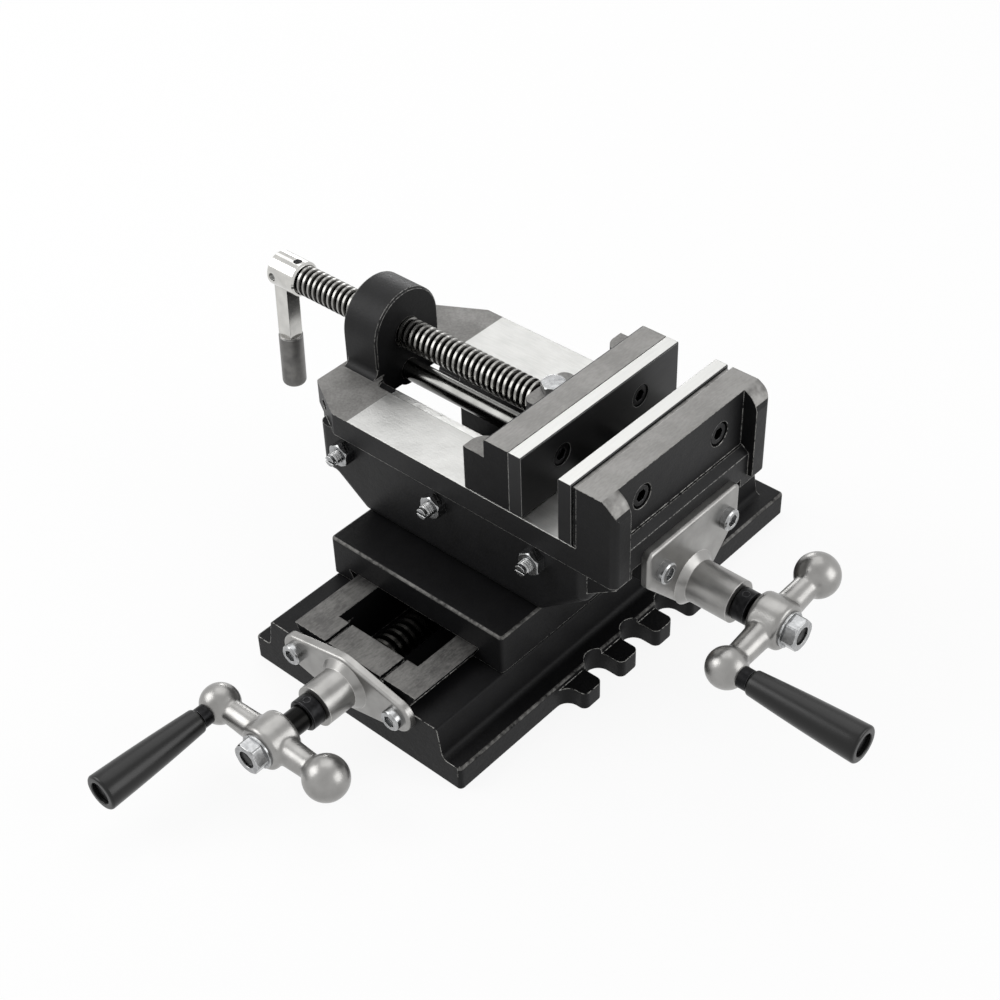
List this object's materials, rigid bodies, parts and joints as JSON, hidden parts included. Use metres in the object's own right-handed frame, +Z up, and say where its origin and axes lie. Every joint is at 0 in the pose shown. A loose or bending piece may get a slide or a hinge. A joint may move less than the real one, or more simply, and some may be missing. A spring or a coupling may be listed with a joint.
{
  "type": "cross slide vise",
  "caption": "Machine vise on two crossed dovetail slides, each moved by a lead screw with a two-ball crank; screw clamp with folding handle.",
  "frame": {"origin": "middle of the underside of the base casting", "axes": "+X along the clamping axis towards the fixed jaw and its crank, +Y along the base away from the front crank, +Z up"},
  "size_m": [0.3468, 0.3338, 0.1317],
  "materials": {
    "black_iron": "satin black enamel over cast iron, sliding faces machined bright",
    "ground_steel": "ground hardened steel",
    "screw_steel": "turned steel",
    "cast_steel": "fine cast steel, tumbled to a satin",
    "zinc_steel": "zinc plated",
    "black_steel": "black oxide",
    "bright_steel": "polished and nickel plated",
    "grey_steel": "phosphated grey",
    "bronze": "machined bronze",
    "grip_plastic": "moulded black, fine matt"
  },
  "bodies": {
    "base": {"base_casting": "black_iron", "cross_bracket": "cast_steel", "cross_bracket_screws": "zinc_steel"},
    "saddle": {"saddle_casting": "black_iron", "cross_gib": "ground_steel", "cross_gib_screws": "zinc_steel", "cross_gib_nuts": "zinc_steel", "cross_nut": "bronze", "cross_nut_screws": "black_steel", "long_nut": "bronze", "long_nut_screws": "black_steel"},
    "vise_body": {"vise_casting": "black_iron", "fixed_jaw_plate": "ground_steel", "fixed_jaw_screws": "black_steel", "long_gib": "ground_steel", "long_gib_screws": "zinc_steel", "long_gib_nuts": "zinc_steel", "long_bracket": "cast_steel", "long_bracket_screws": "zinc_steel", "guide_rod": "ground_steel", "guide_rod_screw": "black_steel"},
    "movable_jaw_unit": {"movable_jaw": "black_iron", "movable_jaw_plate": "ground_steel", "movable_jaw_screws": "black_steel", "retaining_bolt": "zinc_steel"},
    "clamp_spindle": {"clamp_screw": "screw_steel", "clamp_head": "bright_steel", "clamp_head_pin": "black_steel", "handle_pivot": "zinc_steel"},
    "clamp_handle": {"handle_bar": "bright_steel", "handle_sleeve": "grey_steel"},
    "cross_screw": {"cross_lead_screw": "screw_steel", "cross_collar": "black_steel", "cross_collar_pin": "black_steel", "cross_crank": "cast_steel", "cross_crank_washer": "zinc_steel", "cross_crank_nut": "zinc_steel", "cross_grip_spindle": "black_steel"},
    "cross_grip_unit": {"cross_grip": "grip_plastic"},
    "long_screw": {"long_lead_screw": "screw_steel", "long_collar": "black_steel", "long_collar_pin": "black_steel", "long_crank": "cast_steel", "long_crank_washer": "zinc_steel", "long_crank_nut": "zinc_steel", "long_grip_spindle": "black_steel"},
    "long_grip_unit": {"long_grip": "grip_plastic"}
  },
  "joints": [
    {"name": "cross_slide", "type": "slide", "parent": "base", "child": "saddle", "axis": [0, 1, 0], "range_m": [-0.038, 0.046]},
    {"name": "long_slide", "type": "slide", "parent": "saddle", "child": "vise_body", "axis": [1, 0, 0], "range_m": [-0.028, 0.05]},
    {"name": "jaw_slide", "type": "slide", "parent": "vise_body", "child": "movable_jaw_unit", "axis": [1, 0, 0], "range_m": [-0.074, 0.0184]},
    {"name": "clamp_turn", "type": "hinge", "parent": "movable_jaw_unit", "child": "clamp_spindle", "pos_m": [-0.1, -0.003, 0.1107], "axis": [1, 0, 0], "range_deg": [-8396.6, 2092.3]},
    {"name": "handle_fold", "type": "hinge", "parent": "clamp_spindle", "child": "clamp_handle", "pos_m": [-0.1435, -0.003, 0.1107], "axis": [0, 1, 0], "range_deg": [-2.5, 87.5]},
    {"name": "cross_turn", "type": "hinge", "parent": "base", "child": "cross_screw", "pos_m": [0, -0.1578, 0.025], "axis": [0, 1, 0], "range_deg": [-4146, 3426]},
    {"name": "cross_grip_spin", "type": "hinge", "parent": "cross_screw", "child": "cross_grip_unit", "pos_m": [-0.031, -0.195, 0.025], "axis": [0, 1, 0], "continuous": true},
    {"name": "long_turn", "type": "hinge", "parent": "vise_body", "child": "long_screw", "pos_m": [0.1318, -0.003, 0.0585], "axis": [1, 0, 0], "range_deg": [-2526, 4506]},
    {"name": "long_grip_spin", "type": "hinge", "parent": "long_screw", "child": "long_grip_unit", "pos_m": [0.17, -0.03388, 0.0558], "axis": [1, 0, 0], "continuous": true}
  ],
  "couplings": [
    {"joint": "cross_turn", "follows": "cross_slide", "rad_per_m": -1570.8},
    {"joint": "long_turn", "follows": "long_slide", "rad_per_m": 1570.8},
    {"joint": "clamp_turn", "follows": "jaw_slide", "rad_per_m": 1979}
  ]
}
